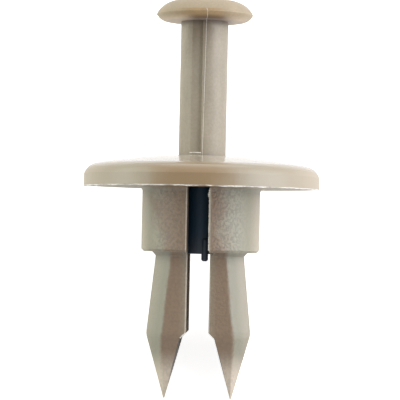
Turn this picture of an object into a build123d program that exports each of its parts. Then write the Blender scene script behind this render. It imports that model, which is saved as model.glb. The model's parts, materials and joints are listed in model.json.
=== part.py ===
from build123d import *
import math
import os

# Plastic push rivet, in millimetres. A slotted grommet with a domed flange is pushed through a panel hole,
# and the pin is then pressed in until its head meets the dome, which holds the two legs apart.
# Every piece is drawn on the rivet's own axis: z = 0 is the underside of the flange, +Z runs to the pin's
# head, the legs stand at +X and -X, and -Y is the front. The whole rivet is laid on its back at the end.

# Flange
flange_radius = 10.0
flange_height = 2.75  # underside to the top of the dome
flange_rim_height = 1.0  # side wall, below the shoulder
flange_shoulder_radius = 8.9  # where the shallow dome turns down into the shoulder
flange_shoulder_drop = 0.82  # top of the dome to that turn

# Collar, which centres the rivet in the panel hole
collar_radius = 5.0
collar_length = 5.48
collar_root_radius = 0.45
collar_edge_bevel = 0.22

# Way through the grommet for the pin
bore_radius = 2.05
bore_lead_in = 0.15
slot_width = 1.9
slot_edge_bevel = 0.08

# Legs: a shank with cut corners that widens down to the knee, then a wedge that ends in two points
leg_neck_width = 7.35  # across both legs, at the collar
leg_knee_width = 8.78  # across both legs, at their widest
leg_knee_depth = 12.45  # underside of the flange to the knee
leg_knee_radius = 1.5
leg_point_depth = 17.9  # underside of the flange to the points
leg_thickness = 5.4  # front to back
leg_corner_width = 1.35
leg_corner_depth = 1.6
leg_corner_softness = 0.45
leg_root_bevel = 0.35
leg_point_spread = 5.66  # between the two points
leg_point_width = 0.1
leg_point_thickness = 0.3
ledge_depth = 12.22  # underside of the flange to where the slot steps out
ledge_width = 0.5

# Push pin
pin_clearance = 0.045  # running clearance of the shaft in the bore, on the radius
pin_lift = 11.33  # how far the head stands above the dome before it is pushed in
pin_foot_height = 0.3  # underside of the flange to the end of the light-coloured shaft
pin_foot_bevel = 0.2
head_radius = 4.08
head_base_height = 0.6  # underside of the head to its widest line
head_base_radius = 3.2  # where the flat underside turns up to the widest line
head_crown_height = 1.18  # widest line of the head to its top
head_crown_radius = 2.2  # where the flat crown turns down to the edge
head_edge_width = 0.07  # step in from the widest line to the edge of the crown
head_edge_height = 0.2
flute_width = 0.93  # flat let into the front of the shaft, to the left of its middle
flute_edge_offset = 0.03  # from the middle of the shaft to the flat's steep side
flute_end_gap = 0.14  # top of the dome to the end of the flat

# Dark core in the foot of the pin
core_radius = 1.7
core_overhang = 0.15  # how far its end stands out below the collar
core_edge_bevel = 0.1
core_clearance = 0.05  # round the core in the narrow part of the channel
spigot_radius = 0.95
spigot_length = 1.6
nib_radius = 0.29
nib_offset = 0.46  # from the middle to the right
nib_overhang = 0.62  # how far it hangs below the end of the core
nib_length = 1.95
nib_sink = 0.12  # how deep its middle is let into the side of the core
nib_end_radius = 0.2
nib_end_bevel = 0.12

# Aids for drawing
overrun = 1.0  # how far a cutting shape runs past what it cuts
near = 0.001  # within this, a place counts as lying on a plane

# Derived sizes and places
slot_half = slot_width / 2
head_base = flange_height + pin_lift
head_widest = head_base + head_base_height
head_top = head_widest + head_crown_height
shaft_radius = bore_radius - pin_clearance
core_end = -collar_length - core_overhang
point_offset = leg_point_spread / 2
wide_channel_depth = pin_lift - pin_foot_height + pin_foot_bevel


def turned(outline):
    """Revolve a half section, drawn as radius and height, about the rivet's axis."""
    return revolve(Plane.XZ * outline, Axis.Z)


def corner(outline, place):
    """The corner of an outline that is nearest to a place."""
    return outline.vertices().sort_by_distance(place)[0]


def round_bar(radius, bottom, top):
    """A cylinder on the rivet's axis between two heights."""
    return Pos(0, 0, bottom) * Cylinder(radius, top - bottom, align=(Align.CENTER, Align.CENTER, Align.MIN))


def flange_and_collar():
    """The domed flange with the collar under it, bored through, before the slot is cut."""
    shoulder = (flange_shoulder_radius, flange_height - flange_shoulder_drop)
    rim_top = (flange_radius, flange_rim_height)
    collar_root = (collar_radius, 0)
    collar_edge = (collar_radius, -collar_length)
    dome = TangentArc((0, flange_height), shoulder, tangent=(1, 0))
    turn = TangentArc(shoulder, rim_top, tangent=dome % 1)
    walls = Polyline(
        rim_top, (flange_radius, 0), collar_root, collar_edge, (0, -collar_length), (0, flange_height)
    )
    outline = make_face(dome + turn + walls) - bore_section()
    outline = fillet(corner(outline, collar_root), collar_root_radius)
    outline = chamfer(corner(outline, collar_edge), collar_edge_bevel)
    return turned(outline)


def bore_section():
    """Half section of the bore, with the lead-in at its mouth."""
    top = flange_height + bore_lead_in
    mouth = (bore_radius + 2 * bore_lead_in, top)
    lip = (bore_radius, flange_height - bore_lead_in)
    below = -collar_length - overrun
    return make_face(Polyline(mouth, lip, (bore_radius, below), (0, below), (0, top), close=True))


def stem_section(depth, width, scale):
    """Section across both legs at a depth below the flange: an oblong with cut and softened corners.

    The thickness and the corners shrink by the scale, and the width is given.
    """
    x = width / 2
    y = leg_thickness / 2 * scale
    inner_x = x - leg_corner_width * scale
    inner_y = y - leg_corner_depth * scale
    quarter = [(x, inner_y), (inner_x, y)]
    half = quarter + [(-a, b) for a, b in reversed(quarter)]
    whole = half + [(-a, -b) for a, b in half]
    outline = make_face(Polyline(whole, close=True))
    return Pos(0, 0, -depth) * fillet(outline.vertices(), leg_corner_softness * scale)


def knee_edges(body):
    """The edges where the flanks of the legs turn in towards the points."""
    return body.edges().filter_by(lambda edge: abs(edge.center().Z + leg_knee_depth) < near)


def stem():
    """Both legs in one, before the slot parts them."""
    neck = stem_section(collar_length, leg_neck_width, 1)
    knee = stem_section(leg_knee_depth, leg_knee_width, 1)
    points_width = leg_point_spread + leg_point_width
    points = stem_section(leg_point_depth, points_width, leg_point_thickness / leg_thickness)
    body = loft([neck, knee], ruled=True) + loft([knee, points], ruled=True)
    return fillet(knee_edges(body), leg_knee_radius)


def slot():
    """The gap between the legs: straight sides, a ledge, then sides that run out to the points."""
    below = leg_point_depth + overrun
    inner_point = point_offset - leg_point_width / 2
    side = [
        (slot_half, 0),
        (slot_half, -ledge_depth),
        (slot_half + ledge_width, -ledge_depth - ledge_width),
        (inner_point, -leg_point_depth),
        (inner_point, -below),
    ]
    outline = make_face(Polyline(side + [(-x, z) for x, z in reversed(side)], close=True))
    return extrude(Plane.XZ * outline, flange_radius, both=True)


def slot_bevel(face, start_depth, end_depth):
    """What the bevel takes off the slot's long edges, front and back, where they leave a face."""
    flare = slot_edge_bevel + overrun
    mouth = [(slot_half, face - slot_edge_bevel), (slot_half + flare, face + overrun)]
    half = mouth + [(-x, y) for x, y in reversed(mouth)]
    front = extrude(Pos(0, 0, -end_depth) * make_face(Polyline(half, close=True)), end_depth - start_depth)
    return front + mirror(front, Plane.XZ)


def channel():
    """The way for the pin between the legs.

    It is as wide as the bore down to where the shaft's foot ends up, and below that it only clears the core.
    """
    wide = round_bar(bore_radius, -wide_channel_depth, 0)
    narrow = round_bar(core_radius + core_clearance, -leg_point_depth - overrun, 0)
    return wide + narrow


def grommet():
    """Flange, collar and both legs: one moulding."""
    body = flange_and_collar() + stem()
    flat_rings = body.faces().filter_by(Axis.Z).filter_by(lambda face: face.inner_wires())
    collar_end = flat_rings.sort_by(Axis.Z)[0]
    body = chamfer(collar_end.inner_wires()[0].edges(), leg_root_bevel)
    collar_mouth = slot_bevel(math.sqrt(collar_radius**2 - slot_half**2), collar_root_radius, collar_length)
    leg_mouth = slot_bevel(leg_thickness / 2, collar_length, ledge_depth)
    return body - slot() - channel() - collar_mouth - leg_mouth


def push_pin():
    """Head and shaft of the pin, with the flat in the shaft and the socket for the core."""
    crown_turn = (head_crown_radius, head_top)
    crown_edge = (head_radius - head_edge_width, head_widest + head_edge_height)
    foot_edge = (shaft_radius, pin_foot_height)
    crown = Line((0, head_top), crown_turn)
    crown += TangentArc(crown_turn, crown_edge, tangent=(1, 0))
    underside = Line((shaft_radius, head_base), (head_base_radius, head_base))
    underside += TangentArc((head_base_radius, head_base), (head_radius, head_widest), tangent=(1, 0))
    edge = Line(crown_edge, (head_radius, head_widest))
    shaft = Polyline((shaft_radius, head_base), foot_edge, (0, pin_foot_height), (0, head_top))
    outline = make_face(crown + edge + underside + shaft)
    outline = chamfer(corner(outline, foot_edge), pin_foot_bevel)
    socket = round_bar(spigot_radius, pin_foot_height, pin_foot_height + spigot_length)
    return turned(outline) - flute() - socket


def flute():
    """What the flat takes off the shaft: it starts level with the surface and ends at a steep side."""
    left = -flute_edge_offset - flute_width
    floor = math.sqrt(shaft_radius**2 - left**2)
    bottom = flange_height + flute_end_gap
    size = (flute_width, shaft_radius, head_base - bottom)
    return Pos(left, -floor, bottom) * Box(*size, align=(Align.MIN, Align.MAX, Align.MIN))


def pin_core():
    """The dark core: a bar with a spigot that holds it in the shaft, and a nib that runs in the slot."""
    bar = round_bar(core_radius, core_end, pin_foot_height)
    bar = chamfer(bar.edges().sort_by(Axis.Z)[0], core_edge_bevel)
    spigot = round_bar(spigot_radius, pin_foot_height, pin_foot_height + spigot_length)
    nib_y = nib_sink - math.sqrt(core_radius**2 - nib_offset**2)
    nib = round_bar(nib_radius, core_end - nib_overhang, core_end - nib_overhang + nib_length)
    nib = fillet(nib.edges().sort_by(Axis.Z)[0], nib_end_radius)
    nib = chamfer(nib.edges().sort_by(Axis.Z)[-1], nib_end_bevel)
    return bar + spigot + Pos(nib_offset, nib_y, 0) * nib


def resting_place(pieces):
    """Where the rivet comes to rest: on the back of its flange and its two points.

    The origin is under the middle of the resting rivet, and +Y is the way its head points.
    """
    back_of_point = leg_point_thickness / 2
    lean = math.degrees(math.atan2(flange_radius - back_of_point, leg_point_depth))
    turn = Rotation(lean - 90, 0, 0)
    box = Compound([turn * piece for piece in pieces]).bounding_box()
    return Pos(-box.center().X, -box.center().Y, -box.min.Z) * turn


def main():
    nodes = {"grommet_body": grommet(), "push_pin": push_pin(), "pin_core": pin_core()}
    rest = resting_place(nodes.values())
    os.makedirs("parts", exist_ok=True)
    for name, piece in nodes.items():
        export_step(rest * piece, f"parts/{name}.step")


main()
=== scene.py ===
"""Finishes the plastic push rivet: materials, mould flash and seams, stage, lamps and camera."""

import json
import math
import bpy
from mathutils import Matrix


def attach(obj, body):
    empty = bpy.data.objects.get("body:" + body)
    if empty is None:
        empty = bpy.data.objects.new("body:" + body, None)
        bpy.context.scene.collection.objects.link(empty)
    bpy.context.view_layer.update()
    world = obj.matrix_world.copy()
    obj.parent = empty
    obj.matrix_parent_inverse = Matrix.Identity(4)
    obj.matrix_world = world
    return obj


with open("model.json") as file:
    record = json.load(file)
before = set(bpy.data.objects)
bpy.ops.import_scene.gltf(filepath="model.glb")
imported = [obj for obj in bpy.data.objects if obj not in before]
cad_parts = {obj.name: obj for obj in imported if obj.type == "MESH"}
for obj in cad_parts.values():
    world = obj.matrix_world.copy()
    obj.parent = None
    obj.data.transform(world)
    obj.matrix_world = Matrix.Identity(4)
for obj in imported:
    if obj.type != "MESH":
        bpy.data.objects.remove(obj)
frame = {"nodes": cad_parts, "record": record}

from types import SimpleNamespace

import bpy
from bpy.props import FloatProperty, FloatVectorProperty, IntProperty, PointerProperty
from mathutils import Matrix, Vector

bl_info = {
    "name": "Plastic push rivet",
    "version": (1, 0, 0),
    "blender": (4, 5, 0),
    "location": "3D View > Sidebar > Rivet",
    "description": "Finishes, mould flash and stage for a beige nylon push rivet",
    "category": "Object",
}

MM = 0.001


def mount(name):
    """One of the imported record's mounts, by name."""
    return next(entry for entry in frame["record"]["mounts"] if entry["name"] == name)


# The rivet's own frame: x to its right, y to its back, z from the points to the head,
# with its origin in the middle of the flange's underside
HEAD_WAY = -Vector(mount("collar")["axis"]).normalized()
RIGHT_WAY = Vector((1, 0, 0))
BACK_WAY = HEAD_WAY.cross(RIGHT_WAY)
SEAT = Vector(mount("flange_seat")["pos_m"])
BASE = SEAT - RIGHT_WAY * SEAT.dot(RIGHT_WAY)
REST = Matrix((RIGHT_WAY, BACK_WAY, HEAD_WAY)).transposed().to_4x4()
REST.translation = BASE


def own_box(node):
    """Lowest and highest x, y and z of a CAD node in the rivet's own frame."""
    places = [REST.inverted() @ vertex.co for vertex in frame["nodes"][node].data.vertices]
    return [min(axis) for axis in zip(*places)], [max(axis) for axis in zip(*places)]


# Sizes read off the CAD nodes, in metres
GROMMET_LOW, GROMMET_HIGH = own_box("grommet_body")
PIN_HIGH = own_box("push_pin")[1]
FLANGE_RADIUS = GROMMET_HIGH[0]
HEAD_RADIUS = PIN_HIGH[0]

# Places on the rivet that the boxes don't give, in millimetres in its own frame
SLOT_HALF = 0.95
SLOT_BEVEL = 0.08
COLLAR_END = -5.48
NECK_CORNER = 2.33  # from the middle to where the front of a leg turns into its cut corner, at the collar
KNEE = -12.45
KNEE_CORNER = 3.04  # the same at the knee
LEDGE = -12.22
LEDGE_REACH = 0.5
POINTS = GROMMET_LOW[2] / MM
POINT_INSIDE = 2.78  # from the middle to the inner side of a point
HEAD_HEIGHT = 1.78
HEAD_BASE = PIN_HIGH[2] / MM - HEAD_HEIGHT
CROWN_EDGE = HEAD_BASE + 0.8


def linear(code):
    """Linear red, green and blue of an sRGB hex colour such as "BEB29B"."""
    shares = [int(code[i:i + 2], 16) / 255 for i in (0, 2, 4)]
    return tuple(c / 12.92 if c <= 0.04045 else ((c + 0.055) / 1.055) ** 2.4 for c in shares)


def length(name, description, millimetres):
    """A length in the panel, kept in metres."""
    return FloatProperty(
        name=name, description=description, default=millimetres * MM, unit="LENGTH", precision=6
    )


def angle(name, description, degrees):
    """An angle in the panel, kept in radians."""
    return FloatProperty(
        name=name, description=description, default=math.radians(degrees), subtype="ANGLE", unit="ROTATION"
    )


def colour(name, description, code):
    """A colour in the panel, given as sRGB hex."""
    return FloatVectorProperty(
        name=name, description=description, default=(*linear(code), 1), subtype="COLOR", size=4, min=0, max=1
    )


class RivetFinish(bpy.types.PropertyGroup):
    """Colours and grain of the mouldings."""

    stem_colour: colour("Collar and legs", "Brown beige of the collar and legs beside the slot", "876E54")
    # The paler olive beige at the sides is painted light.
    stem_side_light: colour("Collar and legs, sides", "Olive beige of the same at its sides", "A19D87")
    flange_colour: colour("Flange", "Warm brown beige of the flange over the slot", "9B7E55")
    # The paler beige at the flange's sides is painted light.
    flange_side_light: colour("Flange, sides", "Beige of the flange at its sides", "B0A38A")
    # The dome's paler, greyer beige is painted light on its upward face.
    dome_colour: colour("Dome", "Greyer, paler beige of the polished dome", "C8BCA6")
    # Painted light: the colour that the points, the legs' flanks and the far sides are painted, as if lit
    # through.
    painted_glow_colour: colour("Points", "The thin points, which let some light through", "E0D3C0")
    # Pale edges: partly rubbed, partly a painted highlight.
    edge_colour: colour("Edges", "Rubbed and thin edges", "CFC6B4")
    # Painted shade: the dark brown of the faces that part the two points.
    inside_shade_colour: colour("Slot faces", "Dull brown of the faces that part the two points", "3A322B")
    shaft_colour: colour("Pin's shaft", "Greyer beige of the pin's shaft", "AEA593")
    # Painted shade on the shaft under the head and down its flat.
    shaft_shade_colour: colour("Pin's shaft, stained", "Brown of the shaft under the head and in its flat", "7D6D59")
    # Painted shade in the corner between shaft and head.
    corner_shade_colour: colour("Pin's corner", "Dirt in the corner between shaft and head", "4E3B33")
    head_colour: colour("Pin's head", "Warm beige of the edge of the pin's head", "B3986F")
    # The crown's greyer, paler beige, also laid on the head's sides, is painted light.
    crown_colour: colour("Pin's head, crown", "Greyer beige of the crown of the head", "B6A68A")
    # Painted reflection: the pale underside of the head.
    beneath_reflection_colour: colour("Pin's head, beneath", "Pale beige of the underside of the head", "DECAAE")
    # Painted shade in the middle of the head's underside, over the shaft.
    middle_shade_colour: colour("Pin's head, middle", "Browner middle of the head's underside", "755A44")
    core_colour: colour("Core", "Blue-black of the core", "24425A")
    # Painted light: the lighter, greyer end of the core.
    core_end_light: colour("Core, scuffed", "Greyer end of the core, scuffed by the panel", "5A5F66")
    # Painted light: the near white of the thin flash stands for light coming through it.
    flash_colour: colour("Flash", "Thin flash, which lets light through", "FFFDF6")
    grain_size: length("Grain", "Size of one pebble of the eroded mould surface", 0.25)
    grain_depth: length("Grain depth", "Height of the pebbles", 0.08)
    pin_sheen: FloatProperty(
        name="Pin's sheen", description="Milky sheen of the pin's fine grain", default=0.15, min=0, max=1,
        subtype="FACTOR"
    )


class RivetFlash(bpy.types.PropertyGroup):
    """Sizes of the thin flash, the burrs and the seam that the mould leaves."""

    rim_lip: length("Rim lip", "How far the torn lip hangs below the flange's edge", 0.06)
    rim_tear: length("Rim tear", "How unevenly the lip is torn", 0.08)
    rim_thickness: length("Rim lip thickness", "Wall of the lip", 0.05)
    rim_torn_width: length("Rim torn width", "The most torn stretch, from the middle to the right", 5.5)
    rim_back: length("Rim lip end", "From the middle back to the ends of the lip", 1.197)
    slot_lip: length("Slot lip", "How far the flash stands into the slot", 0.1)
    slot_root: length("Slot root", "How far the flash runs into the slot's wall", 0.02)
    slot_thickness: length("Slot flash thickness", "Wall of the flash in the slot", 0.04)
    slot_side: length("Slot half width", "From the middle to the slot's wall", SLOT_HALF)
    slot_front: length("Slot flash front", "From the middle forward to the flash", 4.82)
    slot_top: length("Slot flash top", "Upper end of the flash, below the flange", -0.15)
    slot_length: length("Slot flash length", "Length of the flash down the collar", 5.2)
    slot_flap: length("Slot flap", "How far its largest flap stands further in", 0.16)
    flap_drop: length("Flap drop", "From the top of the flash to the flap", 0.3)
    flap_length: length("Flap length", "Height of the flap", 0.55)
    ledge_front: length("Ledge front", "From the middle forward to the ledge's burr", 2.69)
    ledge_height: length("Ledge height", "The ledge, from the flange's underside", LEDGE)
    ledge_reach: length("Ledge reach", "Width and height of the ledge", LEDGE_REACH)
    burr_radius: length("Burr radius", "Radius of the burrs on ledge and shaft", 0.044)
    seam_turn: angle("Seam turn", "The parting line, from straight in front to the right round the pin", 4.4)
    seam_radius: length("Seam radius", "Radius of the bead along the parting line", 0.014)
    seam_gap: length("Seam gap", "From the dome to the lower end of the seam", 0.02)
    seam_drop: length("Seam drop", "From the top of the head to the upper end of the seam", 0.98)
    nub_drop: length("Nub drop", "From the top of the head to the nubs at its sides", 1.18)
    nub_length: length("Nub length", "Length of the nubs at the sides of the head", 0.4)
    nub_radius: length("Nub radius", "Radius of the nubs at the sides of the head", 0.05)
    flute_gap: length("Flute gap", "From the dome to the end of the flat in the shaft", 0.13)
    flute_left: length("Flute left", "From the middle to the left end of the flat", 0.97)
    flute_right: length("Flute right", "From the middle to the right end of the flat", 0.02)
    seed: IntProperty(name="Seed", description="Start of the random tears", default=7)


class RivetStage(bpy.types.PropertyGroup):
    """The camera's place and view."""

    distance: length("Camera distance", "From the rivet's axis to the camera", 190.0)
    azimuth: angle("Camera azimuth", "Camera's turn to the right round the rivet", 2.5)
    roll: angle("Camera roll", "Camera's roll about its view", 1.2)
    half_view: length("Half view", "Half of the width that the camera sees at the rivet", 16.98)
    eye_height: length("Eye height", "Camera's place along the rivet's axis", -4.2)
    aim_height: length("Aim height", "Height of the view's middle along the rivet's axis", -1.06)
    aim_side: length("Aim side", "Place of the view's middle to the right of the axis", -0.1)


def at(x, y, z):
    """A place in the rivet's own frame, given in metres, as a place in the scene."""
    return REST @ Vector((x, y, z))


# Materials

SMOOTH = {"interpolation_type": "SMOOTHSTEP"}
COLOURS = {"data_type": "RGBA"}
NUMBERS = {"data_type": "FLOAT"}
ABSOLUTE = {"operation": "ABSOLUTE"}
PLUS = {"operation": "ADD"}
MINUS = {"operation": "SUBTRACT"}
TIMES = {"operation": "MULTIPLY"}
TIMES_PLUS = {"operation": "MULTIPLY_ADD"}
LARGER = {"operation": "MAXIMUM"}

# What every moulding of polyamide 6 has: its refraction, a slightly cool gloss and a faint depth
POLYAMIDE = {
    "IOR": 1.53,
    "Specular Tint": (*linear("EDFAFF"), 1),
    "Subsurface Weight": 0.12,
    "Subsurface Radius": (1.0, 0.7, 0.4),
    "Subsurface Scale": 0.8 * MM,
    "Sheen Roughness": 0.45,
}


def add(tree, kind, settings=None, inputs=None):
    """Add a node with its settings and inputs.

    An input is given as a value, a socket that feeds it, or a node, whose first output in use feeds it.
    """
    node = tree.nodes.new(kind)
    for name, value in (settings or {}).items():
        setattr(node, name, value)
    for name, given in (inputs or {}).items():
        if isinstance(given, bpy.types.Node):
            given = next(socket for socket in given.outputs if socket.enabled)
        if isinstance(given, bpy.types.NodeSocket):
            tree.links.new(given, node.inputs[name])
        else:
            node.inputs[name].default_value = given
    return node


def new_material(name):
    """A material with an empty node tree."""
    material = bpy.data.materials.new(name)
    material.use_nodes = True
    material.node_tree.nodes.clear()
    return material, material.node_tree


def shade(tree, inputs):
    """End a material's tree with a Principled shader that has these inputs."""
    shader = add(tree, "ShaderNodeBsdfPrincipled", None, inputs)
    add(tree, "ShaderNodeOutputMaterial", None, {"Surface": shader})


def rivet_millimetres(tree):
    """The place on the rivet in its own frame, in millimetres, from object coordinates."""
    inverse = REST.inverted()
    coordinates = add(tree, "ShaderNodeTexCoord")
    return add(tree, "ShaderNodeMapping", {"vector_type": "POINT"}, {
        "Location": inverse.translation / MM, "Rotation": inverse.to_euler(), "Scale": (1 / MM,) * 3,
        "Vector": coordinates.outputs["Object"],
    })


def edge_wear_and_light(tree, width):
    """The normal, rounded over an edge of this width, and how much the edge is painted pale, partly as
    rubbing and partly as a painted highlight.
    """
    rounded = add(tree, "ShaderNodeBevel", {"samples": 4}, {"Radius": width})
    geometry = add(tree, "ShaderNodeNewGeometry")
    turn = add(tree, "ShaderNodeVectorMath", {"operation": "DOT_PRODUCT"}, {
        0: rounded, 1: geometry.outputs["Normal"],
    })
    worn_and_lit = add(tree, "ShaderNodeMapRange", SMOOTH, {
        "Value": turn, "From Min": 0.985, "From Max": 0.90, "To Max": 0.6,
    })
    return rounded, worn_and_lit


def body_regions(tree, place):
    """Where on the body a place lies: distances in millimetres, and shares from 0 to 1."""
    axes = add(tree, "ShaderNodeSeparateXYZ", None, {"Vector": place}).outputs
    height = axes["Z"]
    sideways = add(tree, "ShaderNodeMath", ABSOLUTE, {0: axes["X"]})

    # The flange starts at height 0, and its polish on the shoulder, halfway between rim and dome
    on_flange = add(tree, "ShaderNodeMapRange", SMOOTH, {
        "Value": height, "From Min": -0.25, "From Max": 0.05,
    })
    on_dome = add(tree, "ShaderNodeMapRange", SMOOTH, {
        "Value": height, "From Min": 1.35, "From Max": 1.9,
    })
    below_collar = add(tree, "ShaderNodeMapRange", SMOOTH, {
        "Value": height, "From Min": COLLAR_END + 0.18, "From Max": COLLAR_END - 0.12,
    })

    # How far a place lies to the side of a line a little left of the slot's middle, with a random drift; the
    # paler colour away from this line is painted light
    cloud_size = 2.2
    clouds = add(tree, "ShaderNodeTexNoise", None, {
        "Vector": place, "Scale": 1 / cloud_size, "Detail": 3.0, "Roughness": 0.6,
    })
    drift = add(tree, "ShaderNodeMath", TIMES_PLUS, {0: clouds, 1: 3.0, 2: -1.5})
    from_line = add(tree, "ShaderNodeMath", PLUS, {0: axes["X"], 1: 0.6})
    from_line = add(tree, "ShaderNodeMath", ABSOLUTE, {0: from_line})
    off_centre_line = add(tree, "ShaderNodeMath", PLUS, {0: from_line, 1: drift})

    # How far out a place lies from the line where the front of a leg turns into its cut corner
    corner = add(tree, "ShaderNodeMapRange", None, {
        "Value": height, "From Min": COLLAR_END, "From Max": KNEE,
        "To Min": NECK_CORNER, "To Max": KNEE_CORNER,
    })
    past_corner = add(tree, "ShaderNodeMath", MINUS, {0: sideways, 1: corner})
    past_corner = add(tree, "ShaderNodeMath", TIMES_PLUS, {0: drift, 1: 0.2, 2: past_corner})
    on_corner = add(tree, "ShaderNodeMapRange", SMOOTH, {
        "Value": past_corner, "From Min": -0.2, "From Max": 0.2,
    })
    return SimpleNamespace(
        place=place, height=height, sideways=sideways, on_flange=on_flange, on_dome=on_dome,
        below_collar=below_collar, off_centre_line=off_centre_line, past_corner=past_corner, on_corner=on_corner,
    )


def body_colour_and_light(tree, finish, where):
    """Colour of the body: browner in the middle, and paler at its sides and where thin, which paleness is
    painted light.
    """
    # Painted light: on the legs the colour is paler on the cut corners and next to the slot
    beside_slot = add(tree, "ShaderNodeMapRange", SMOOTH, {
        "Value": where.sideways, "From Min": 1.7, "From Max": 1.0, "To Max": 0.35,
    })
    on_legs = add(tree, "ShaderNodeMath", LARGER, {0: where.on_corner, 1: beside_slot})
    on_collar = add(tree, "ShaderNodeMapRange", SMOOTH, {
        "Value": where.off_centre_line, "From Min": 1.8, "From Max": 3.9,
    })
    at_sides = add(tree, "ShaderNodeMix", NUMBERS, {
        "Factor": where.below_collar, "A": on_collar, "B": on_legs,
    })
    stem = add(tree, "ShaderNodeMix", COLOURS, {
        "Factor": at_sides, "A": finish.stem_colour, "B": finish.stem_side_light,
    })
    along_flange = add(tree, "ShaderNodeMapRange", SMOOTH, {
        "Value": where.off_centre_line, "From Min": 1.3, "From Max": 5.4,
    })
    flange = add(tree, "ShaderNodeMix", COLOURS, {
        "Factor": along_flange, "A": finish.flange_colour, "B": finish.flange_side_light,
    })
    # Painted light: the flange is painted paler and greyer up the dome.
    up_dome = add(tree, "ShaderNodeMapRange", SMOOTH, {
        "Value": where.height, "From Min": 1.3, "From Max": 2.0, "To Max": 0.6,
    })
    flange = add(tree, "ShaderNodeMix", COLOURS, {"Factor": up_dome, "A": flange, "B": finish.dome_colour})
    base = add(tree, "ShaderNodeMix", COLOURS, {"Factor": where.on_flange, "A": stem, "B": flange})

    # Painted light: the thin flanks and points of the legs, and the far sides of collar and flange, are
    # painted paler, as if lit through
    outer = add(tree, "ShaderNodeMapRange", SMOOTH, {
        "Value": where.past_corner, "From Min": 0.3, "From Max": 1.2, "To Max": 0.3,
    })
    flanks = add(tree, "ShaderNodeMath", TIMES, {0: outer, 1: where.below_collar})
    near_points = add(tree, "ShaderNodeMapRange", SMOOTH, {
        "Value": where.height, "From Min": -13.5, "From Max": -16.2, "To Max": 0.95,
    })
    legs = add(tree, "ShaderNodeMath", LARGER, {0: flanks, 1: near_points})
    collar_side = add(tree, "ShaderNodeMapRange", SMOOTH, {
        "Value": where.sideways, "From Min": 4.0, "From Max": 5.0, "To Max": 0.5,
    })
    flange_side = add(tree, "ShaderNodeMapRange", SMOOTH, {
        "Value": where.sideways, "From Min": 7.0, "From Max": 10.0, "To Max": 0.35,
    })
    far_side = add(tree, "ShaderNodeMix", NUMBERS, {
        "Factor": where.on_flange, "A": collar_side, "B": flange_side,
    })
    thin = add(tree, "ShaderNodeMath", LARGER, {0: legs, 1: far_side})
    return add(tree, "ShaderNodeMix", COLOURS, {"Factor": thin, "A": base, "B": finish.painted_glow_colour})


def slot_colour(tree, finish, where, base):
    """The body's colour with a painted highlight on the bevels of the slot and painted shade on the faces
    between the points.
    """
    # Painted highlight: the slot's bevels below the flange are painted pale.
    bevel_end = SLOT_HALF + SLOT_BEVEL
    past_wall = add(tree, "ShaderNodeMapRange", SMOOTH, {
        "Value": where.sideways, "From Min": SLOT_HALF + 0.005, "From Max": SLOT_HALF + 0.015,
    })
    before_face = add(tree, "ShaderNodeMapRange", SMOOTH, {
        "Value": where.sideways, "From Min": bevel_end + 0.03, "From Max": bevel_end - 0.01,
    })
    on_bevel = add(tree, "ShaderNodeMath", TIMES, {0: past_wall, 1: before_face})
    under_flange = add(tree, "ShaderNodeMapRange", SMOOTH, {
        "Value": where.height, "From Min": -0.05, "From Max": -0.25, "To Max": 0.7,
    })
    on_bevel = add(tree, "ShaderNodeMath", TIMES, {0: on_bevel, 1: under_flange})
    base = add(tree, "ShaderNodeMix", COLOURS, {"Factor": on_bevel, "A": base, "B": finish.edge_colour})

    # Painted shade: the inner faces of the points, from below the ledge to near the points, are painted dark.
    wedge_side = add(tree, "ShaderNodeMapRange", None, {
        "Value": where.height, "From Min": LEDGE - LEDGE_REACH, "From Max": POINTS,
        "To Min": SLOT_HALF + LEDGE_REACH, "To Max": POINT_INSIDE,
    })
    inside = add(tree, "ShaderNodeMath", MINUS, {0: where.sideways, 1: wedge_side})
    on_wedge = add(tree, "ShaderNodeMapRange", SMOOTH, {"Value": inside, "From Min": 0.06, "From Max": 0.02})
    below_ledge = add(tree, "ShaderNodeMapRange", SMOOTH, {
        "Value": where.height, "From Min": -12.6, "From Max": -12.75,
    })
    above_points = add(tree, "ShaderNodeMapRange", SMOOTH, {
        "Value": where.height, "From Min": -17.2, "From Max": -15.0, "To Max": 0.85,
    })
    painted_shade = add(tree, "ShaderNodeMath", TIMES, {0: on_wedge, 1: below_ledge})
    painted_shade = add(tree, "ShaderNodeMath", TIMES, {0: painted_shade, 1: above_points})
    return add(tree, "ShaderNodeMix", COLOURS, {"Factor": painted_shade, "A": base, "B": finish.inside_shade_colour})


def smooth_share(tree, where):
    """How smooth the body's surface is, from 0 for full pebbles to 1."""
    off_slot = add(tree, "ShaderNodeMapRange", SMOOTH, {
        "Value": where.sideways, "From Min": 0.9, "From Max": 1.5, "To Min": 0.3,
    })
    off_sides = add(tree, "ShaderNodeMapRange", SMOOTH, {
        "Value": where.sideways, "From Min": 3.0, "From Max": 4.2, "To Min": 1.0, "To Max": 0.15,
    })
    rough = add(tree, "ShaderNodeMath", TIMES, {0: off_slot, 1: off_sides})
    smooth = add(tree, "ShaderNodeMath", MINUS, {0: 1.0, 1: rough})
    smooth = add(tree, "ShaderNodeMath", LARGER, {0: smooth, 1: where.on_flange})
    cut_corners = add(tree, "ShaderNodeMath", TIMES, {0: where.below_collar, 1: where.on_corner})
    smooth = add(tree, "ShaderNodeMath", LARGER, {0: smooth, 1: cut_corners})
    legs = add(tree, "ShaderNodeMapRange", SMOOTH, {"Value": where.below_collar, "To Max": 0.6})
    smooth = add(tree, "ShaderNodeMath", LARGER, {0: smooth, 1: legs})
    return smooth, cut_corners


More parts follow.
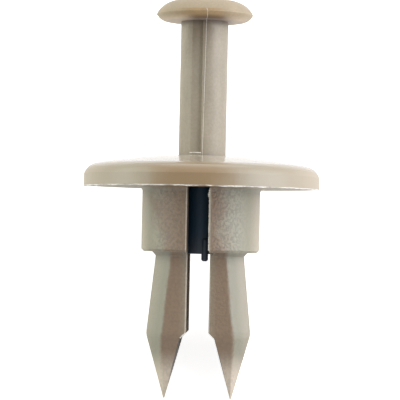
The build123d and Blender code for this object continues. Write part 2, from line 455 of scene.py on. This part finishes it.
def body_shade(tree, where, pebbles, smooth, cut_corners):
    """How the body is darkened: dirt between the pebbles, painted shade under the flange and at the legs'
    roots, and darker cut corners on the legs away from the points.
    """
    grimy = add(tree, "ShaderNodeMapRange", SMOOTH, {
        "Value": pebbles, "From Min": 0.38, "From Max": 0.62, "To Min": 0.82, "To Max": 1.14,
    })
    grimy = add(tree, "ShaderNodeMix", NUMBERS, {"Factor": smooth, "A": grimy, "B": 1.0})
    # Painted shade at the legs' roots under the collar and on the collar just under the flange
    leg_root = add(tree, "ShaderNodeMapRange", SMOOTH, {
        "Value": where.height, "From Min": -6.4, "From Max": -5.5, "To Min": 1.0, "To Max": 0.8,
    })
    collar_root = add(tree, "ShaderNodeMapRange", SMOOTH, {
        "Value": where.height, "From Min": -1.1, "From Max": -0.2, "To Min": 1.0, "To Max": 0.74,
    })
    flange = add(tree, "ShaderNodeMapRange", SMOOTH, {
        "Value": where.height, "From Min": -0.06, "From Max": -0.02,
    })
    collar_root = add(tree, "ShaderNodeMath", LARGER, {0: collar_root, 1: flange})
    roots = add(tree, "ShaderNodeMix", NUMBERS, {
        "Factor": where.below_collar, "A": collar_root, "B": leg_root,
    })
    dirt_and_shade = add(tree, "ShaderNodeMath", TIMES, {0: grimy, 1: roots})
    # The legs' cut corners are darker, back to full near the points.
    cut_corner_darkening = add(tree, "ShaderNodeMapRange", SMOOTH, {
        "Value": where.height, "From Min": -13.5, "From Max": -15.5, "To Min": 0.88, "To Max": 1.0,
    })
    cut_corner_darkening = add(tree, "ShaderNodeMix", NUMBERS, {"Factor": cut_corners, "A": 1.0, "B": cut_corner_darkening})
    return add(tree, "ShaderNodeMath", TIMES, {0: dirt_and_shade, 1: cut_corner_darkening})


def body_relief(tree, finish, where, pebbles, smooth, rounded):
    """Relief of the body: pebbles on the stem, fine streaks on the rim, and next to nothing on the dome."""
    streak_width, streak_length = 1 / 3, 4.0
    drawn_out = add(tree, "ShaderNodeMapping", None, {
        "Vector": where.place, "Scale": (1 / streak_width, 1 / streak_width, 1 / streak_length),
    })
    streaks = add(tree, "ShaderNodeTexNoise", None, {
        "Vector": drawn_out, "Scale": 1.0, "Detail": 2.0, "Roughness": 0.5,
    })
    relief = add(tree, "ShaderNodeMix", NUMBERS, {"Factor": where.on_flange, "A": pebbles, "B": streaks})
    on_stem = add(tree, "ShaderNodeMapRange", SMOOTH, {"Value": smooth, "To Min": 1.0, "To Max": 0.45})
    strength = add(tree, "ShaderNodeMix", NUMBERS, {"Factor": where.on_flange, "A": on_stem, "B": 0.16})
    strength = add(tree, "ShaderNodeMix", NUMBERS, {"Factor": where.on_dome, "A": strength, "B": 0.02})
    return add(tree, "ShaderNodeBump", None, {
        "Height": relief, "Strength": strength, "Distance": finish.grain_depth, "Normal": rounded,
    })


def body_material(finish):
    """Polyamide 6, injection moulded in an eroded mould.

    Its collar and legs look matt and pebbly, its rim finely streaked and browner, and its dome polished.
    """
    material, tree = new_material("moulded_polyamide_beige")
    place = rivet_millimetres(tree)
    where = body_regions(tree, place)
    rounded, worn_and_lit = edge_wear_and_light(tree, 0.07 * MM)
    base = body_colour_and_light(tree, finish, where)
    # Edges are painted paler: partly rubbed, partly a painted highlight.
    base = add(tree, "ShaderNodeMix", COLOURS, {"Factor": worn_and_lit, "A": base, "B": finish.edge_colour})
    base = slot_colour(tree, finish, where, base)
    pebbles = add(tree, "ShaderNodeTexNoise", None, {
        "Vector": place, "Scale": MM / finish.grain_size, "Detail": 1.5, "Roughness": 0.6,
    })
    smooth, cut_corners = smooth_share(tree, where)
    value = body_shade(tree, where, pebbles, smooth, cut_corners)
    base = add(tree, "ShaderNodeHueSaturation", None, {"Value": value, "Color": base})
    off_dome = add(tree, "ShaderNodeMapRange", SMOOTH, {
        "Value": where.height, "From Min": -0.25, "From Max": 0.05, "To Min": 0.5, "To Max": 0.42,
    })
    shade(tree, POLYAMIDE | {
        "Base Color": base,
        "Roughness": add(tree, "ShaderNodeMix", NUMBERS, {"Factor": where.on_dome, "A": off_dome, "B": 0.14}),
        "Specular IOR Level": 1.0,
        "Coat Weight": where.on_dome,
        "Coat Roughness": 0.12,
        "Sheen Weight": 0.1,
        "Normal": body_relief(tree, finish, where, pebbles, smooth, rounded),
    })
    return material


def shaft_colours(tree, finish, axes, clouds):
    """Colour of the shaft with painted shade: brown down its flat, stronger towards the head, in a band under
    the head and darkest in the corner.
    """
    # Painted shade down the flat, stronger towards the head, and in a band under the head
    drift = add(tree, "ShaderNodeMath", TIMES_PLUS, {0: clouds, 1: 2.4, 2: -1.2})
    off_streak = add(tree, "ShaderNodeMath", PLUS, {0: axes["X"], 1: 0.35})
    off_streak = add(tree, "ShaderNodeMath", ABSOLUTE, {0: off_streak})
    off_streak = add(tree, "ShaderNodeMath", PLUS, {0: off_streak, 1: drift})
    on_streak = add(tree, "ShaderNodeMapRange", SMOOTH, {
        "Value": off_streak, "From Min": 1.6, "From Max": 0.4,
    })
    up_shaft = add(tree, "ShaderNodeMapRange", SMOOTH, {
        "Value": axes["Z"], "From Min": 9.5, "From Max": HEAD_BASE, "To Min": 0.15, "To Max": 0.75,
    })
    streak = add(tree, "ShaderNodeMath", TIMES, {0: on_streak, 1: up_shaft})
    under_head = add(tree, "ShaderNodeMapRange", SMOOTH, {
        "Value": axes["Z"], "From Min": HEAD_BASE - 0.7, "From Max": HEAD_BASE - 0.1, "To Max": 0.6,
    })
    shaft_shade = add(tree, "ShaderNodeMath", LARGER, {0: streak, 1: under_head})
    shaft = add(tree, "ShaderNodeMix", COLOURS, {
        "Factor": shaft_shade, "A": finish.shaft_colour, "B": finish.shaft_shade_colour,
    })
    # Painted shade in the corner under the head
    in_corner = add(tree, "ShaderNodeMapRange", SMOOTH, {
        "Value": axes["Z"], "From Min": HEAD_BASE - 0.5, "From Max": HEAD_BASE - 0.05, "To Max": 0.5,
    })
    return add(tree, "ShaderNodeMix", COLOURS, {"Factor": in_corner, "A": shaft, "B": finish.corner_shade_colour})


def head_colours(tree, finish, axes):
    """Colour of the head: a warm edge, painted greyer and paler to its sides and crown as painted light, with
    a painted reflection on its underside and painted shade in the underside's middle.
    """
    across = add(tree, "ShaderNodeMath", ABSOLUTE, {0: axes["X"]})
    # Painted light: the head's edge is painted greyer and paler towards its sides.
    off_middle = add(tree, "ShaderNodeMapRange", SMOOTH, {
        "Value": across, "From Min": 0.8, "From Max": 3.0, "To Max": 0.9,
    })
    rim = add(tree, "ShaderNodeMix", COLOURS, {
        "Factor": off_middle, "A": finish.head_colour, "B": finish.crown_colour,
    })
    # Painted shade in the middle of the underside, and a painted reflection to its sides
    off_shade = add(tree, "ShaderNodeMath", MINUS, {0: axes["X"], 1: 0.4})
    off_shade = add(tree, "ShaderNodeMath", ABSOLUTE, {0: off_shade})
    off_shade = add(tree, "ShaderNodeMapRange", SMOOTH, {
        "Value": off_shade, "From Min": 0.8, "From Max": 2.5,
    })
    beneath = add(tree, "ShaderNodeMix", COLOURS, {
        "Factor": off_shade, "A": finish.middle_shade_colour, "B": finish.beneath_reflection_colour,
    })
    up_side = add(tree, "ShaderNodeMapRange", SMOOTH, {
        "Value": axes["Z"], "From Min": HEAD_BASE + 0.02, "From Max": HEAD_BASE + 0.4,
    })
    side = add(tree, "ShaderNodeMix", COLOURS, {"Factor": up_side, "A": beneath, "B": rim})
    on_crown = add(tree, "ShaderNodeMapRange", SMOOTH, {
        "Value": axes["Z"], "From Min": CROWN_EDGE, "From Max": CROWN_EDGE + 0.04,
    })
    return add(tree, "ShaderNodeMix", COLOURS, {"Factor": on_crown, "A": side, "B": finish.crown_colour})


def pin_material(finish):
    """Polyamide 6, injection moulded in a polished mould.

    It looks satin, with a greyer shaft that has painted shade under the head and down its flat, and a warmer
    head.
    """
    material, tree = new_material("moulded_polyamide_grey_beige")
    place = rivet_millimetres(tree)
    axes = add(tree, "ShaderNodeSeparateXYZ", None, {"Vector": place}).outputs
    cloud_width, cloud_length, speck_size = 1.25, 3.57, 0.2
    drawn_out = add(tree, "ShaderNodeMapping", None, {
        "Vector": place, "Scale": (1 / cloud_width, 1 / cloud_width, 1 / cloud_length),
    })
    clouds = add(tree, "ShaderNodeTexNoise", None, {
        "Vector": drawn_out, "Scale": 1.0, "Detail": 3.0, "Roughness": 0.6,
    })
    specks = add(tree, "ShaderNodeTexNoise", None, {
        "Vector": place, "Scale": 1 / speck_size, "Detail": 2.0, "Roughness": 0.5,
    })
    on_head = add(tree, "ShaderNodeMapRange", SMOOTH, {
        "Value": axes["Z"], "From Min": HEAD_BASE - 0.03, "From Max": HEAD_BASE + 0.01,
    })
    base = add(tree, "ShaderNodeMix", COLOURS, {
        "Factor": on_head,
        "A": shaft_colours(tree, finish, axes, clouds),
        "B": head_colours(tree, finish, axes),
    })

    # The corner between shaft and head is hollow, so it gets neither rubbing nor the painted edge highlight
    rounded, worn_and_lit = edge_wear_and_light(tree, 0.06 * MM)
    from_corner = add(tree, "ShaderNodeMath", MINUS, {0: axes["Z"], 1: HEAD_BASE})
    from_corner = add(tree, "ShaderNodeMath", ABSOLUTE, {0: from_corner})
    from_corner = add(tree, "ShaderNodeMapRange", SMOOTH, {
        "Value": from_corner, "From Min": 0.05, "From Max": 0.15,
    })
    worn_and_lit = add(tree, "ShaderNodeMath", TIMES, {0: worn_and_lit, 1: from_corner})
    base = add(tree, "ShaderNodeMix", COLOURS, {"Factor": worn_and_lit, "A": base, "B": finish.edge_colour})

    cloudy = add(tree, "ShaderNodeMapRange", SMOOTH, {
        "Value": clouds, "From Min": 0.3, "From Max": 0.7, "To Min": 0.95, "To Max": 1.05,
    })
    speckled = add(tree, "ShaderNodeMapRange", SMOOTH, {
        "Value": specks, "From Min": 0.35, "From Max": 0.65, "To Min": 0.96, "To Max": 1.04,
    })
    patchy = add(tree, "ShaderNodeMath", TIMES, {0: cloudy, 1: speckled})
    shade(tree, POLYAMIDE | {
        "Base Color": add(tree, "ShaderNodeHueSaturation", None, {"Value": patchy, "Color": base}),
        "Roughness": 0.5,
        "Specular IOR Level": 0.6,
        "Sheen Weight": finish.pin_sheen,
        "Normal": add(tree, "ShaderNodeBump", None, {
            "Height": specks, "Strength": 0.5, "Distance": 0.02 * MM, "Normal": rounded,
        }),
    })
    return material


def core_material(finish):
    """Black polyamide, moulded smooth.

    It is blue-black, with painted light that makes it lighter and greyer towards its end.
    """
    material, tree = new_material("moulded_polyamide_black")
    place = rivet_millimetres(tree)
    axes = add(tree, "ShaderNodeSeparateXYZ", None, {"Vector": place}).outputs
    # Painted light: the core is painted lighter and greyer towards its end.
    scuffed = add(tree, "ShaderNodeMapRange", SMOOTH, {
        "Value": axes["Z"], "From Min": -3.0, "From Max": -6.2, "To Max": 0.6,
    })
    scratch_width, scratch_length = 1 / 6, 1.25
    drawn_out = add(tree, "ShaderNodeMapping", None, {
        "Vector": place, "Scale": (1 / scratch_width, 1 / scratch_width, 1 / scratch_length),
    })
    scratches = add(tree, "ShaderNodeTexNoise", None, {
        "Vector": drawn_out, "Scale": 1.0, "Detail": 2.0, "Roughness": 0.5,
    })
    shade(tree, {
        "Base Color": add(tree, "ShaderNodeMix", COLOURS, {
            "Factor": scuffed, "A": finish.core_colour, "B": finish.core_end_light,
        }),
        "Roughness": 0.5,
        "IOR": POLYAMIDE["IOR"],
        "Specular IOR Level": 0.35,
        "Normal": add(tree, "ShaderNodeBump", None, {
            "Height": scratches, "Strength": 0.5, "Distance": 0.01 * MM,
        }),
    })
    return material


def flash_material(finish):
    """Polyamide flash, a thin skin squeezed out of the mould.

    It is thin and painted nearly white: painted light for the light that would come through it.
    """
    material, tree = new_material("polyamide_flash")
    patch_size = 1 / 3
    patches = add(tree, "ShaderNodeTexNoise", None, {
        "Vector": rivet_millimetres(tree), "Scale": 1 / patch_size, "Detail": 2.0, "Roughness": 0.5,
    })
    thicker = add(tree, "ShaderNodeMapRange", SMOOTH, {"Value": patches, "From Min": 0.5, "From Max": 0.8})
    shade(tree, {
        "Base Color": add(tree, "ShaderNodeMix", COLOURS, {
            "Factor": thicker, "A": finish.flash_colour, "B": finish.edge_colour,
        }),
        "Roughness": 0.45,
        "IOR": POLYAMIDE["IOR"],
    })
    return material


# Modelling

def start_piece():
    """Deselect everything, so that only the next primitive is worked on."""
    if bpy.context.object and bpy.context.object.mode != "OBJECT":
        bpy.ops.object.mode_set(mode="OBJECT")
    bpy.ops.object.select_all(action="DESELECT")


def edit_all():
    """Open the active piece's mesh with all of it selected."""
    bpy.ops.object.mode_set(mode="EDIT")
    bpy.ops.mesh.select_all(action="SELECT")


def select_where(test):
    """Select the vertices of the edited mesh whose place passes a test."""
    bpy.ops.mesh.select_mode(type="VERT")
    bpy.ops.mesh.select_all(action="DESELECT")
    bpy.ops.object.mode_set(mode="OBJECT")
    for vertex in bpy.context.object.data.vertices:
        vertex.select = test(vertex.co)
    bpy.ops.object.mode_set(mode="EDIT")


def refine(levels, kind):
    """Split the active piece's faces, each into four per level, always in the same order."""
    bpy.ops.object.mode_set(mode="OBJECT")
    finer = bpy.context.object.modifiers.new("finer", "SUBSURF")
    finer.subdivision_type = kind
    finer.levels = levels
    finer.render_levels = levels
    bpy.ops.object.modifier_apply(modifier=finer.name)
    edit_all()


def thicken(thickness):
    """Give the active sheet a wall, half to each side."""
    bpy.ops.object.mode_set(mode="OBJECT")
    wall = bpy.context.object.modifiers.new("wall", "SOLIDIFY")
    wall.thickness = thickness
    wall.offset = 0
    bpy.ops.object.modifier_apply(modifier=wall.name)


def settle(name, body, material):
    """Name the active piece, lay it where the rivet rests with its place in its mesh, and let it ride."""
    if bpy.context.object.mode != "OBJECT":
        bpy.ops.object.mode_set(mode="OBJECT")
    piece = bpy.context.object
    if not piece.data.polygons:
        raise RuntimeError(name + " came out with no faces")
    bpy.ops.object.transform_apply(location=True, rotation=True, scale=True)
    piece.name = name
    piece.data.name = name
    piece.data.materials.clear()
    piece.data.materials.append(material)
    piece.matrix_world = REST
    bpy.ops.object.transform_apply(location=True, rotation=True, scale=True)
    bpy.ops.object.shade_smooth_by_angle(angle=math.radians(40))
    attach(piece, body)


def bead_along(node, plane_co, plane_no, keep, radius, ends=()):
    """Make a round bead along the line where a plane, in the rivet's own frame, cuts a CAD node's surface.

    Only the stretch whose places pass the test keep is made. The surface is first cut at each height in
    ends, so that the bead can end there.
    """
    start_piece()
    mesh = frame["nodes"][node].data.copy()
    piece = bpy.data.objects.new(node + "_section", mesh)
    bpy.context.scene.collection.objects.link(piece)
    piece.matrix_world = REST.inverted()
    bpy.context.view_layer.objects.active = piece
    piece.select_set(True)
    bpy.ops.object.transform_apply(location=True, rotation=True, scale=True)
    edit_all()
    bpy.ops.mesh.remove_doubles(threshold=0.001 * MM)
    for height in ends:
        bpy.ops.mesh.select_all(action="SELECT")
        bpy.ops.mesh.bisect(plane_co=(0, 0, height), plane_no=(0, 0, 1))
    bpy.ops.mesh.select_all(action="SELECT")
    bpy.ops.mesh.bisect(plane_co=plane_co, plane_no=plane_no, clear_inner=True, clear_outer=True)
    select_where(lambda place: not keep(place))
    bpy.ops.mesh.delete(type="VERT")
    bpy.ops.object.mode_set(mode="OBJECT")
    bpy.ops.object.convert(target="CURVE")
    line = bpy.context.object.data
    line.bevel_depth = radius
    line.bevel_resolution = 2
    line.use_fill_caps = True
    bpy.ops.object.convert(target="MESH")


class RIVET_OT_finish(bpy.types.Operator):
    """Give each CAD node its material"""

    bl_idname = "rivet.finish"
    bl_label = "Finish the mouldings"

    def execute(self, context):
        finish = context.scene.rivet_finish
        made = {
            "grommet_body": body_material(finish),
            "push_pin": pin_material(finish),
            "pin_core": core_material(finish),
        }
        for name, material in made.items():
            slots = frame["nodes"][name].data.materials
            slots.clear()
            slots.append(material)
        return {"FINISHED"}


class RIVET_OT_rim_flash(bpy.types.Operator):
    """Make the torn lip along the lower edge of the flange"""

    bl_idname = "rivet.rim_flash"
    bl_label = "Flash on the flange"

    def execute(self, context):
        flash = context.scene.rivet_flash
        lip, tear, torn = flash.rim_lip, flash.rim_tear, flash.rim_torn_width
        start_piece()

        # A band with a corner every 0.4 mm is torn at random, rounded, and then roughened more finely
        bpy.ops.mesh.primitive_cylinder_add(
            vertices=160, radius=FLANGE_RADIUS - flash.rim_thickness / 2, depth=lip, end_fill_type="NOTHING"
        )
        edit_all()
        bpy.ops.transform.translate(value=(0, 0, -lip / 2))
        select_where(lambda place: place.y > flash.rim_back)
        bpy.ops.mesh.delete(type="VERT")
        select_where(lambda place: place.z < -lip / 2)
        bpy.ops.transform.vertex_random(offset=tear, uniform=0.5, seed=flash.seed)
        select_where(lambda place: place.z < 0 and 0 < place.x < torn and place.y < 0)
        bpy.ops.transform.vertex_random(offset=tear, uniform=0.5, seed=flash.seed + 1)
        refine(2, "CATMULL_CLARK")
        select_where(lambda place: place.z < -0.6 * lip)
        bpy.ops.transform.vertex_random(offset=tear / 4, uniform=0.5, seed=flash.seed + 2)
        thicken(flash.rim_thickness)
        settle("flange_flash", "grommet", flash_material(context.scene.rivet_finish))
        return {"FINISHED"}


class RIVET_OT_slot_flash(bpy.types.Operator):
    """Make the ragged strip of flash along the right edge of the collar's slot, with its flap"""

    bl_idname = "rivet.slot_flash"
    bl_label = "Flash in the slot"

    def execute(self, context):
        flash = context.scene.rivet_flash
        side, front = flash.slot_side, flash.slot_front
        width = flash.slot_lip + flash.slot_root
        start_piece()

        # The strip has a row of corners about every 0.1 mm of its length, and its free edge is torn
        bpy.ops.mesh.primitive_grid_add(x_subdivisions=3, y_subdivisions=60, size=1)
        edit_all()
        bpy.ops.transform.resize(value=(width, flash.slot_length, 1), center_override=(0, 0, 0))
        bpy.ops.transform.rotate(value=math.pi / 2, orient_axis="X", center_override=(0, 0, 0))
        middle = (side + flash.slot_root - width / 2, -front, flash.slot_top - flash.slot_length / 2)
        bpy.ops.transform.translate(value=middle)
        free_edge = side - 0.2 * flash.slot_lip
        select_where(lambda place: place.x < free_edge)
        bpy.ops.transform.vertex_random(offset=flash.slot_lip * 0.6, uniform=0.3, seed=flash.seed)

        # The flap is pulled out in two steps, of which the second takes only its middle
        flap_middle = flash.slot_top - flash.flap_drop - flash.flap_length / 2
        for reach in (flash.flap_length / 2, flash.flap_length * 0.3):
            select_where(lambda place: place.x < free_edge and abs(place.z - flap_middle) < reach)
            bpy.ops.transform.translate(value=(-flash.slot_flap / 2, 0, 0))
        refine(1, "SIMPLE")
        bpy.ops.transform.rotate(value=math.pi / 4, orient_axis="Z", center_override=(side, -front, 0))
        thicken(flash.slot_thickness)
        settle("slot_flash", "grommet", flash_material(context.scene.rivet_finish))
        return {"FINISHED"}


class RIVET_OT_ledge_burr(bpy.types.Operator):
    """Make the burr on the ledge where the slot steps out into the left leg"""

    bl_idname = "rivet.ledge_burr"
    bl_label = "Burr on the ledge"

    def execute(self, context):
        flash = context.scene.rivet_flash
        radius, reach = flash.burr_radius, flash.ledge_reach
        start_piece()
        bpy.ops.mesh.primitive_cylinder_add(
            vertices=12, radius=radius, depth=1.3 * reach, rotation=(0, math.pi / 4, 0),
            location=(-flash.slot_side - reach / 2, -flash.ledge_front, flash.ledge_height - reach / 2)
        )
        edit_all()
        bpy.ops.mesh.bevel(offset=radius * 0.6, segments=2)
        refine(2, "SIMPLE")
        bpy.ops.transform.vertex_random(offset=radius * 0.5, seed=flash.seed)
        bpy.ops.mesh.vertices_smooth(factor=0.5, repeat=1)
        settle("ledge_burr", "grommet", flash_material(context.scene.rivet_finish))
        return {"FINISHED"}


class RIVET_OT_pin_seams(bpy.types.Operator):
    """Make the bead along the pin's parting line, and the nubs where it ends at the sides of the head"""

    bl_idname = "rivet.pin_seams"
    bl_label = "Seams on the pin"

    def execute(self, context):
        flash = context.scene.rivet_flash
        material = flash_material(context.scene.rivet_finish)
        lowest = GROMMET_HIGH[2] + flash.seam_gap
        highest = PIN_HIGH[2] - flash.seam_drop
        across = (math.cos(flash.seam_turn), math.sin(flash.seam_turn), 0)
        spare = 0.0001 * MM

        def between_ends(place):
            return lowest - spare < place.z < highest + spare

        bead_along("push_pin", (0, 0, 0), across, between_ends, flash.seam_radius, (lowest, highest))
        settle("pin_seam", "pin", material)
        for name, way in (("head_nub_left", -1), ("head_nub_right", 1)):
            start_piece()
            bpy.ops.mesh.primitive_cylinder_add(
                vertices=16, radius=flash.nub_radius, depth=flash.nub_length, rotation=(math.pi / 2, 0, 0),
                location=(way * HEAD_RADIUS, 0, PIN_HIGH[2] - flash.nub_drop)
            )
            edit_all()
            bpy.ops.mesh.bevel(offset=flash.nub_radius * 0.6, segments=3)
            bpy.ops.transform.vertex_random(offset=flash.nub_radius * 0.15, seed=flash.seed)
            settle(name, "pin", material)
        return {"FINISHED"}


class RIVET_OT_flute_burr(bpy.types.Operator):
    """Make the burr along the lower end of the flat in the shaft"""

    bl_idname = "rivet.flute_burr"
    bl_label = "Burr on the shaft"

    def execute(self, context):
        flash = context.scene.rivet_flash
        end = (0, 0, GROMMET_HIGH[2] + flash.flute_gap)

        def at_flute(place):
            return place.y < 0 and -flash.flute_left < place.x < -flash.flute_right

        bead_along("push_pin", end, (0, 0, 1), at_flute, flash.burr_radius)
        settle("flute_burr", "pin", flash_material(context.scene.rivet_finish))
        return {"FINISHED"}


class RIVET_OT_stage(bpy.types.Operator):
    """Set up the floor, world, lamps and camera"""

    bl_idname = "rivet.stage"
    bl_label = "Stage"

    def execute(self, context):
        make_floor()
        make_world(context.scene)
        make_lamps(context.scene)
        make_camera(context.scene)
        context.scene.view_settings.view_transform = "Standard"
        return {"FINISHED"}


# Stage

WHITE = (*linear("FFFFFF"), 1)
FLOOR_COLOUR = (*linear("E7E7E7"), 1)
FLOOR_GLOW = 0.84
FLOOR_GLOSS = 0.3  # share of the floor's glow in glossy reflections, so that the dome stands out from it
WORLD_LIGHT = 0.3

# Each soft box: its place to the right, back and up in the rivet's own frame, its width and height,
# all in metres, its power in watts, and its tint
LAMPS = {
    "right": ((0.153, -0.062, 0.05), (0.161, 0.26), 0.35, "FFFBFF"),
    "left": ((-0.157, -0.051, 0.05), (0.133, 0.26), 0.205, "FFFDF0"),
    "head": ((0.0, -0.02, 0.17), (0.14, 0.14), 0.05, "FFFFFF"),
    "foot": ((0.0, -0.02, -0.17), (0.12, 0.12), 0.26, "FFFFFF"),
}


def seen_share(tree, gloss):
    """1 for rays from the camera or through clear plastic, a share for glossy ones, and 0 for all others."""
    path = add(tree, "ShaderNodeLightPath").outputs
    mirrored = add(tree, "ShaderNodeMath", TIMES, {0: path["Is Glossy Ray"], 1: gloss})
    seen = add(tree, "ShaderNodeMath", LARGER, {0: path["Is Camera Ray"], 1: mirrored})
    return add(tree, "ShaderNodeMath", LARGER, {0: seen, 1: path["Is Transmission Ray"]})


def make_floor():
    """A plain pale floor that glows a little to the eye, so that it is white and its shadows are faint."""
    start_piece()
    bpy.ops.mesh.primitive_plane_add(size=2.0)
    floor = bpy.context.object
    floor.name = "floor"
    material, tree = new_material("matt_white_floor")
    glow = add(tree, "ShaderNodeMath", TIMES, {0: seen_share(tree, FLOOR_GLOSS), 1: FLOOR_GLOW})
    shade(tree, {
        "Base Color": FLOOR_COLOUR,
        "Roughness": 0.9,
        "Specular IOR Level": 0.0,
        "Emission Color": WHITE,
        "Emission Strength": glow,
    })
    floor.data.materials.append(material)


def make_world(scene):
    """White all round to the eye and in reflections, and dimmer as a light."""
    world = bpy.data.worlds.new("white_room")
    scene.world = world
    world.use_nodes = True
    tree = world.node_tree
    tree.nodes.clear()
    strength = add(tree, "ShaderNodeMix", NUMBERS, {
        "Factor": seen_share(tree, 1.0), "A": WORLD_LIGHT, "B": 1.0,
    })
    background = add(tree, "ShaderNodeBackground", None, {"Color": WHITE, "Strength": strength})
    add(tree, "ShaderNodeOutputWorld", None, {"Surface": background})


def make_lamps(scene):
    """Soft boxes to the right and left of the rivet, beyond its head and beyond its points."""
    for name, (place, size, power, tint) in LAMPS.items():
        lamp = bpy.data.lights.new(name + "_box", "AREA")
        lamp.shape = "RECTANGLE"
        lamp.size, lamp.size_y = size
        lamp.energy = power
        lamp.color = linear(tint)
        holder = bpy.data.objects.new(name + "_box", lamp)
        holder.location = at(*place)
        backwards = (holder.location - BASE).normalized()
        upright = HEAD_WAY if abs(backwards.dot(HEAD_WAY)) < 0.7 else RIGHT_WAY
        across = upright.cross(backwards).normalized()
        turned = Matrix((across, backwards.cross(across), backwards)).transposed()
        holder.rotation_euler = turned.to_euler()
        scene.collection.objects.link(holder)


def make_camera(scene):
    """The camera looks square at the rivet's axis, from above the floor."""
    stage = scene.rivet_stage
    data = bpy.data.cameras.new("camera")
    camera = bpy.data.objects.new("camera", data)
    scene.collection.objects.link(camera)
    side = stage.distance * math.sin(stage.azimuth)
    front = stage.distance * math.cos(stage.azimuth)
    eye = at(side, -front, stage.eye_height)
    aim = at(stage.aim_side, 0, stage.aim_height)
    data.sensor_width = 36
    data.lens = data.sensor_width * stage.distance / (2 * stage.half_view)
    data.clip_start = 0.01
    data.clip_end = 10
    backwards = (eye - aim).normalized()
    across = HEAD_WAY.cross(backwards).normalized()
    turned = Matrix((across, backwards.cross(across), backwards)).transposed().to_4x4()
    camera.matrix_world = Matrix.Translation(eye) @ turned @ Matrix.Rotation(stage.roll, 4, "Z")
    scene.camera = camera


# Add-on

OPERATORS = (
    RIVET_OT_finish, RIVET_OT_rim_flash, RIVET_OT_slot_flash, RIVET_OT_ledge_burr, RIVET_OT_pin_seams,
    RIVET_OT_flute_burr, RIVET_OT_stage,
)
GROUPS = (RivetFinish, RivetFlash, RivetStage)


class RIVET_PT_panel(bpy.types.Panel):
    """Lists the rivet's steps and values"""

    bl_idname = "RIVET_PT_panel"
    bl_label = "Plastic push rivet"
    bl_space_type = "VIEW_3D"
    bl_region_type = "UI"
    bl_category = "Rivet"

    def draw(self, context):
        scene = context.scene
        for group in (scene.rivet_finish, scene.rivet_flash, scene.rivet_stage):
            box = self.layout.box()
            for name in group.__annotations__:
                box.prop(group, name)
        for operator in OPERATORS:
            self.layout.operator(operator.bl_idname)


def register():
    """Add the classes to Blender and the values to the scene."""
    for cls in GROUPS + OPERATORS + (RIVET_PT_panel,):
        bpy.utils.register_class(cls)
    bpy.types.Scene.rivet_finish = PointerProperty(type=RivetFinish)
    bpy.types.Scene.rivet_flash = PointerProperty(type=RivetFlash)
    bpy.types.Scene.rivet_stage = PointerProperty(type=RivetStage)


def unregister():
    """Take the values and classes out again."""
    del bpy.types.Scene.rivet_stage
    del bpy.types.Scene.rivet_flash
    del bpy.types.Scene.rivet_finish
    for cls in reversed(GROUPS + OPERATORS + (RIVET_PT_panel,)):
        bpy.utils.unregister_class(cls)


def main():
    """Run every step in order."""
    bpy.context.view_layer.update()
    register()
    bpy.ops.rivet.finish()
    bpy.ops.rivet.rim_flash()
    bpy.ops.rivet.slot_flash()
    bpy.ops.rivet.ledge_burr()
    bpy.ops.rivet.pin_seams()
    bpy.ops.rivet.flute_burr()
    bpy.ops.rivet.stage()


if __name__ == "__main__":
    main()
